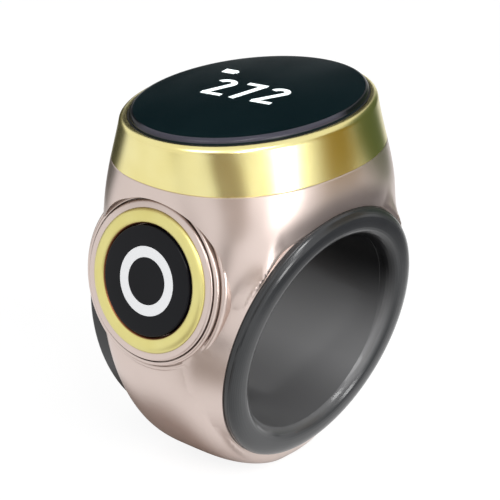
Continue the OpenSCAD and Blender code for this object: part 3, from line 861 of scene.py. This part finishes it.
# %% Board, plastics and foil
green = Finish("green_board", linear(28, 84, 56), 0.4)
green_weave = green.node("ShaderNodeTexChecker", None, {"Vector": green.place, "Scale": 5000.0}, 1)
green_cloud = green.noise(0.8, 2.0)
green.set("Base Color", green.tint(green_cloud, (22, 74, 48), (36, 96, 66)))
green.set("Roughness", 0.34 + green_weave * 0.08)

moulded = Finish("moulded_black", linear(34, 36, 39), 0.5)
moulded_grain = moulded.noise(7, 2.0)
moulded.vary(moulded_grain, (28, 30, 33), (42, 44, 48), 0.44, 0.14)
moulded.bump(moulded_grain, 0.15)

ivory = Finish("ivory_ceramic", linear(214, 204, 176), 0.45)
ivory_grain = ivory.noise(5, 2.0)
ivory.vary(ivory_grain, (204, 192, 162), (224, 216, 192), 0.4, 0.12)

foil = Finish("crinkled_foil", linear(168, 174, 182), 0.3, 0.9)
foil_crinkle = foil.noise(0.7, 4.0)
foil.vary(foil_crinkle, (150, 156, 165), (188, 194, 200), 0.24, 0.16)
foil.bump(foil_crinkle, 0.35, 0.05)
print("board, plastics and foil", green.material.name, moulded.material.name, foil.material.name)

# %% [markdown]
# Each solid is found by the name of its node. Its mesh and its place stay as they are,
# and only the finish on it changes.

# %% Finishes on the inner solids
dress(steel, "button_clip", "switch_plate", "carrier_screws", "vibration_motor", "battery_tabs")
dress(amber, "switch_flex", "display_flex", "charge_flex")
dress(contact, "switch_plunger", "charge_contacts")
dress(green, "main_board")
dress(moulded, "side_switch", "display_panel", "display_carrier", "controller_chip")
dress(ivory, "board_parts", "flex_socket")
dress(foil, "battery_cell")

# %% [markdown]
# ## The studio
# A polished ring is a picture of the room it stands in. The room here is white, with
# soft lamps, and some darker cards stand where a photographer would put flags, so that
# gold and metal have something to mirror. The cards are seen by mirrors only, and they
# fade towards their edges, as the bands on real gold do. First comes a pale floor, which
# glows where it is looked at, so that it runs into the white behind it.

# %% Floor
floor_z = solid_box[0].z
floor_half, floor_glow = 3, 0.86
floor_corners = [(x * floor_half, y * floor_half, floor_z) for x, y in ((-1, -1), (1, -1), (1, 1), (-1, 1))]
floor_mesh = bpy.data.meshes.new("studio_floor")
floor_mesh.from_pydata(floor_corners, [], [(0, 1, 2, 3)])
floor = bpy.data.objects.new("studio_floor", floor_mesh)
bpy.context.scene.collection.objects.link(floor)
pale = Finish("pale_floor", (0.25, 0.25, 0.25), 0.8)
pale.set("Specular IOR Level", 0.0)
rays = pale.node("ShaderNodeLightPath")
seen = pale.node("ShaderNodeMath", {"operation": "MAXIMUM"},
                 {0: rays, 1: Signal(pale, rays.socket.node.outputs["Is Glossy Ray"])})
pale.set("Emission Color", (1, 1, 1, 1))
pale.set("Emission Strength", seen * floor_glow)
floor_mesh.materials.append(pale.material)
print("floor at", round(floor_z, 5))

# %% [markdown]
# The room is plain white where the camera or a mirror looks at it. As a light on satin
# surfaces it is weaker, so that the lamps can still shape them.

# %% White surroundings
room_light = 0.42
world = bpy.data.worlds.new("white_room")
bpy.context.scene.world = world
world.use_nodes = True
sky = world.node_tree.nodes
links = world.node_tree.links


def either(first, second):
    larger = sky.new("ShaderNodeMath")
    larger.operation = "MAXIMUM"
    links.new(first, larger.inputs[0])
    links.new(second, larger.inputs[1])
    return larger.outputs[0]


path = sky.new("ShaderNodeLightPath").outputs
looked_at = either(path["Is Camera Ray"], path["Is Glossy Ray"])
level = sky.new("ShaderNodeMapRange")
links.new(either(looked_at, path["Is Transmission Ray"]), level.inputs["Value"])
level.inputs["To Min"].default_value = room_light
level.inputs["To Max"].default_value = 1.0
links.new(level.outputs[0], sky["Background"].inputs["Strength"])
sky["Background"].inputs["Color"].default_value = (1, 1, 1, 1)
print("room at", room_light, "as a light and 1 as a picture")

# %% [markdown]
# Most lamps and cards are placed by a turn from the camera's side and a distance, in
# metres. A card on the left of the picture shows in the left part of the gold, and its
# tint is the one that the gold takes there. The cards that lie on the floor do the same
# for the metal that looks down.

# %% Lamps and cards
def aim(thing, place, target=(0, 0, 0.003)):
    place = Vector(place)
    thing.location = place
    thing.rotation_euler = (Vector(target) - place).to_track_quat("-Z", "Y").to_euler()


def lamp(name, place, size, power, roll=0):
    light = bpy.data.lights.new(name, "AREA")
    light.shape = "RECTANGLE"
    light.size, light.size_y = size
    light.energy = power
    thing = bpy.data.objects.new(name, light)
    bpy.context.scene.collection.objects.link(thing)
    aim(thing, place)
    thing.rotation_euler.rotate_axis("Z", radians(roll))


def card(name, place, size, shade, target=(0, 0, 0.003), soft=(1, 0, 0)):
    """A sheet that only mirrors see. It fades out from half way to the edges that soft names."""
    w, h = size[0] / 2, size[1] / 2
    mesh = bpy.data.meshes.new(name)
    mesh.from_pydata([(-w, -h, 0), (w, -h, 0), (w, h, 0), (-w, h, 0)], [], [(0, 1, 2, 3)])
    thing = bpy.data.objects.new(name, mesh)
    bpy.context.scene.collection.objects.link(thing)
    aim(thing, place, target)
    cloth = Finish(name + "_cloth", shade, 1.0)
    cloth.set("Specular IOR Level", 0.0)
    span = cloth.node("ShaderNodeVectorMath", {"operation": "MULTIPLY"},
                      {0: cloth.place, 1: (soft[0] / w, soft[1] / h, 0)})
    edge = cloth.node("ShaderNodeVectorMath", {"operation": "LENGTH"}, {0: span}, 1)
    cloth.set("Alpha", cloth.node("ShaderNodeMapRange", {"interpolation_type": "SMOOTHSTEP"},
                                  {"Value": edge, "From Min": 1.0, "From Max": 0.5}))
    mesh.materials.append(cloth.material)
    thing.visible_camera = False
    thing.visible_diffuse = False
    thing.visible_shadow = False
    return thing


def around(turn_deg, distance, height):
    """A place that is so many degrees round the ring from the camera's side."""
    angle = turn + radians(turn_deg)
    return (sin(angle) * distance, -cos(angle) * distance, height)


def flag(name, turn_deg, distance, size, shade, foot=0.0005):
    """An upright card that faces the ring, with its lower edge this far above the floor."""
    middle = floor_z + foot + size[1] / 2
    card(name, around(turn_deg, distance, middle), size, shade, (0, 0, middle), (1, 0.7, 0))


def low_card(name, turn_deg, distance, size, shade):
    """A card that lies just above the floor and fades on all sides."""
    place = around(turn_deg, distance, floor_z + 0.0004)
    flat_card = card(name, place, size, shade, soft=(1, 1, 0))
    flat_card.rotation_euler = (0, 0, turn + radians(turn_deg))


lamp("key_lamp", (-0.32, -0.2, 0.36), (0.25, 0.25), 0.65)
lamp("rim_lamp", (-0.06, -0.19, 0.14), (0.02, 0.26), 0.26, -38.6)
lamp("ridge_strip", around(58, 0.26, 0.02), (0.035, 0.16), 0.14)
lamp("ridge_glow", around(57, 0.28, 0.02), (0.085, 0.16), 0.08)
card("card_behind", (0.3, 0.3, 0.22), (0.6, 0.22), (0.02, 0.02, 0.02))
flag("flag_left", -140, 0.07, (0.085, 0.05), (0.07, 0.07, 0.05))
flag("flag_middle", 10.5, 0.09, (0.064, 0.07), (0.34, 0.15, 0.0), 0.016)
flag("flag_corner", -2, 0.08, (0.03, 0.018), (0.34, 0.3, 0.27))
flag("flag_right", 91, 0.08, (0.054, 0.07), (0.74, 0.47, 0.03), 0.012)
flag("flag_far_right", 128, 0.08, (0.1, 0.08), (0.15, 0.21, 0.1), 0.004)
flag("flag_button", -33, 0.075, (0.034, 0.014), (0.34, 0.3, 0.27))
low_card("floor_card", 91, 0.078, (0.14, 0.11), (0.12, 0.12, 0.13))
# Painted shadow: a dark sheet under the ring, which the metal's low rim mirrors where the ring's shadow
# falls.
low_card("painted_shadow_under", -96, 0.0072, (0.031, 0.031), (0.48, 0.4, 0.36))
low_card("floor_left", -31, 0.046, (0.05, 0.05), (0.52, 0.47, 0.43))
print("studio ready")

# %% [markdown]
# ## View transform
# The picture's colours go through the plain Standard view transform.

# %% Plain view transform
bpy.context.scene.view_settings.view_transform = "Standard"
